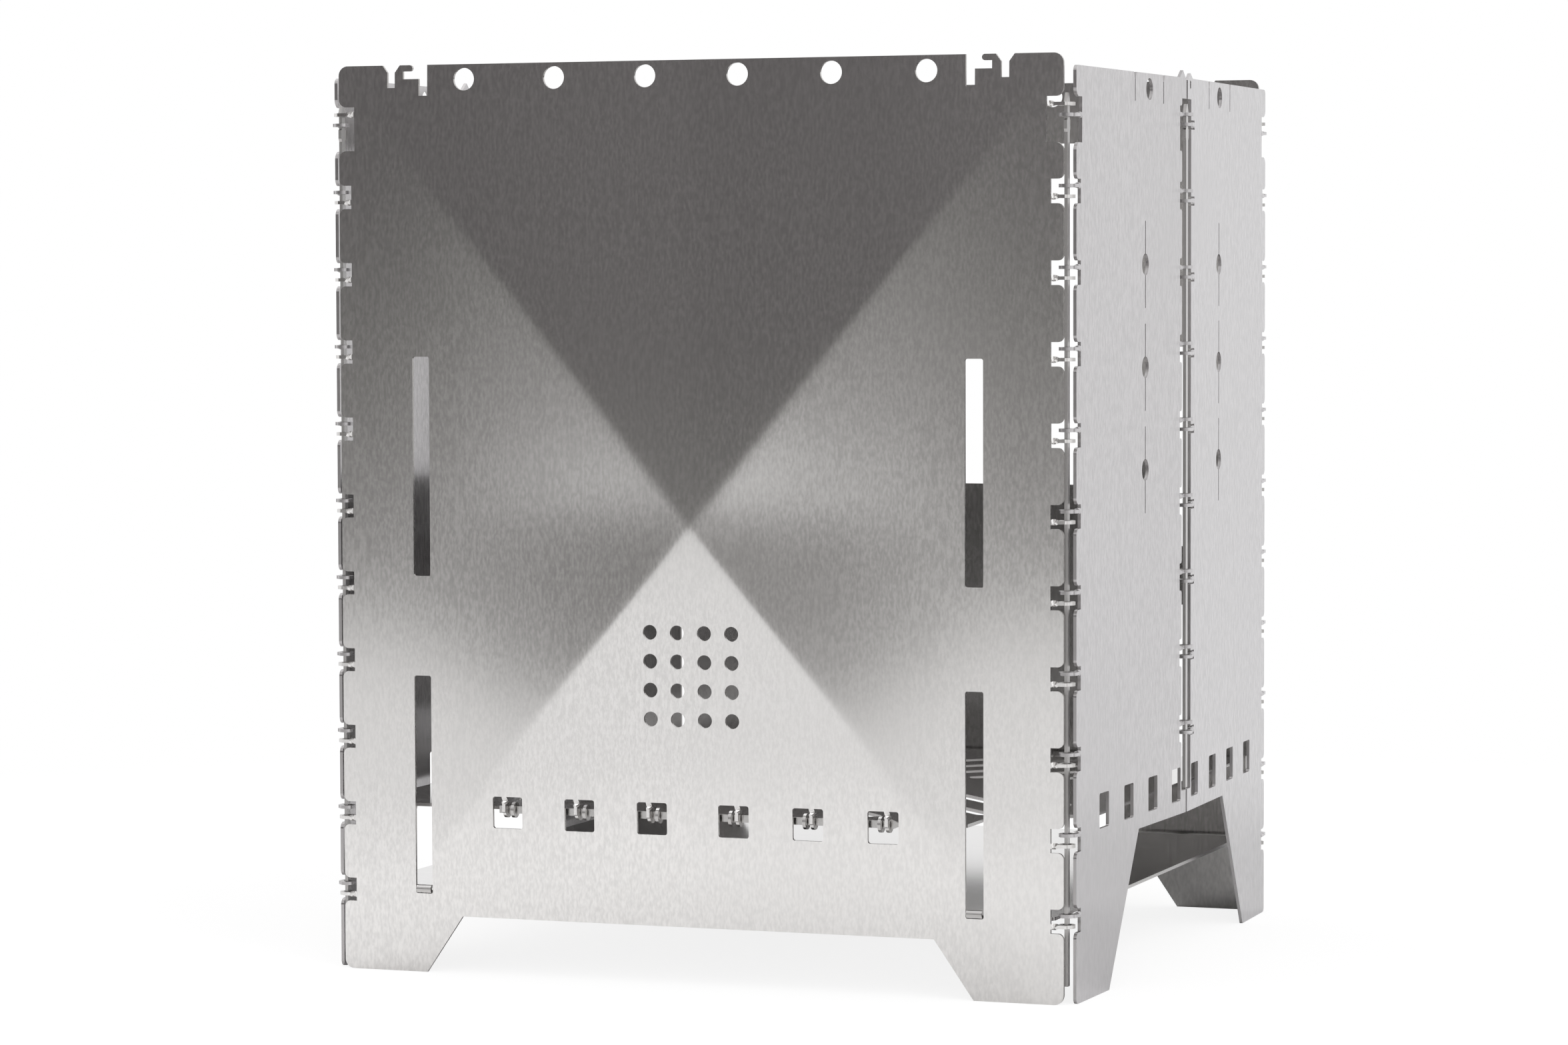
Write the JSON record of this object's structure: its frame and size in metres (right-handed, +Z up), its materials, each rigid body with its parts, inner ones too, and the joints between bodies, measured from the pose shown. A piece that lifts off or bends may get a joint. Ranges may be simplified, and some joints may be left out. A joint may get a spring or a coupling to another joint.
{
  "type": "folding stove",
  "caption": "Folding box stove of thin steel sheet with eyelet hinges, fold-out sides, feeding opening, grate and ash plate.",
  "frame": {"origin": "on the floor, under the middle of the standing stove's box", "axes": "+X to the stove's right as seen from its front, +Y towards its back, +Z up"},
  "size_m": [0.199, 0.1802, 0.2228],
  "materials": {
    "front_steel": "fine upright brushing",
    "back_steel": "fine upright brushing",
    "side_steel": "fine upright brushing",
    "strip_steel": "cut from sheet, bright edges",
    "plate_steel": "fine brushing"
  },
  "bodies": {
    "front": {"front_panel": "front_steel", "front_right_strip": "strip_steel", "front_left_strip": "strip_steel", "grate_strip": "strip_steel"},
    "right_front": {"right_front_side": "side_steel", "right_centre_strip": "strip_steel"},
    "right_rear": {"right_rear_side": "side_steel"},
    "back": {"back_panel": "back_steel", "back_right_strip": "strip_steel", "back_left_strip": "strip_steel"},
    "left_front": {"left_front_side": "side_steel", "left_centre_strip": "strip_steel"},
    "left_rear": {"left_rear_side": "side_steel"},
    "grate": {"fire_grate": "plate_steel"},
    "ash": {"ash_plate": "plate_steel"}
  },
  "joints": [
    {"name": "right_front_hinge", "type": "hinge", "parent": "front", "child": "right_front", "pos_m": [0.0932, -0.08536, 0], "axis": [0, 0, -1], "range_deg": [0, 70]},
    {"name": "right_centre_hinge", "type": "hinge", "parent": "right_front", "child": "right_rear", "pos_m": [0.09752, 0.0012, 0], "axis": [0, 0, 1], "range_deg": [0, 140]},
    {"name": "right_rear_hinge", "type": "hinge", "parent": "right_rear", "child": "back", "pos_m": [0.0932, 0.08776, 0], "axis": [0, 0, -1], "range_deg": [0, 70]},
    {"name": "left_front_hinge", "type": "hinge", "parent": "front", "child": "left_front", "pos_m": [-0.0932, -0.08536, 0], "axis": [0, 0, 1], "range_deg": [0, 70]},
    {"name": "left_centre_hinge", "type": "hinge", "parent": "left_front", "child": "left_rear", "pos_m": [-0.09752, 0.0012, 0], "axis": [0, 0, -1], "range_deg": [0, 140]},
    {"name": "grate_hinge", "type": "hinge", "parent": "front", "child": "grate", "pos_m": [0, -0.08631, 0.0409], "axis": [1, 0, 0], "range_deg": [0, 73.6]},
    {"name": "ash_hinge", "type": "hinge", "parent": "front", "child": "ash", "pos_m": [0, -0.08755, 0.0206], "axis": [1, 0, 0], "range_deg": [0, 73.6]}
  ],
  "couplings": [
    {"joint": "right_centre_hinge", "follows": "right_front_hinge", "ratio": 2},
    {"joint": "right_rear_hinge", "follows": "right_front_hinge", "ratio": 1},
    {"joint": "left_front_hinge", "follows": "right_front_hinge", "ratio": 1},
    {"joint": "left_centre_hinge", "follows": "right_front_hinge", "ratio": 2},
    {"joint": "grate_hinge", "follows": "right_front_hinge", "ratio": 1.05},
    {"joint": "ash_hinge", "follows": "right_front_hinge", "ratio": 1.05}
  ]
}
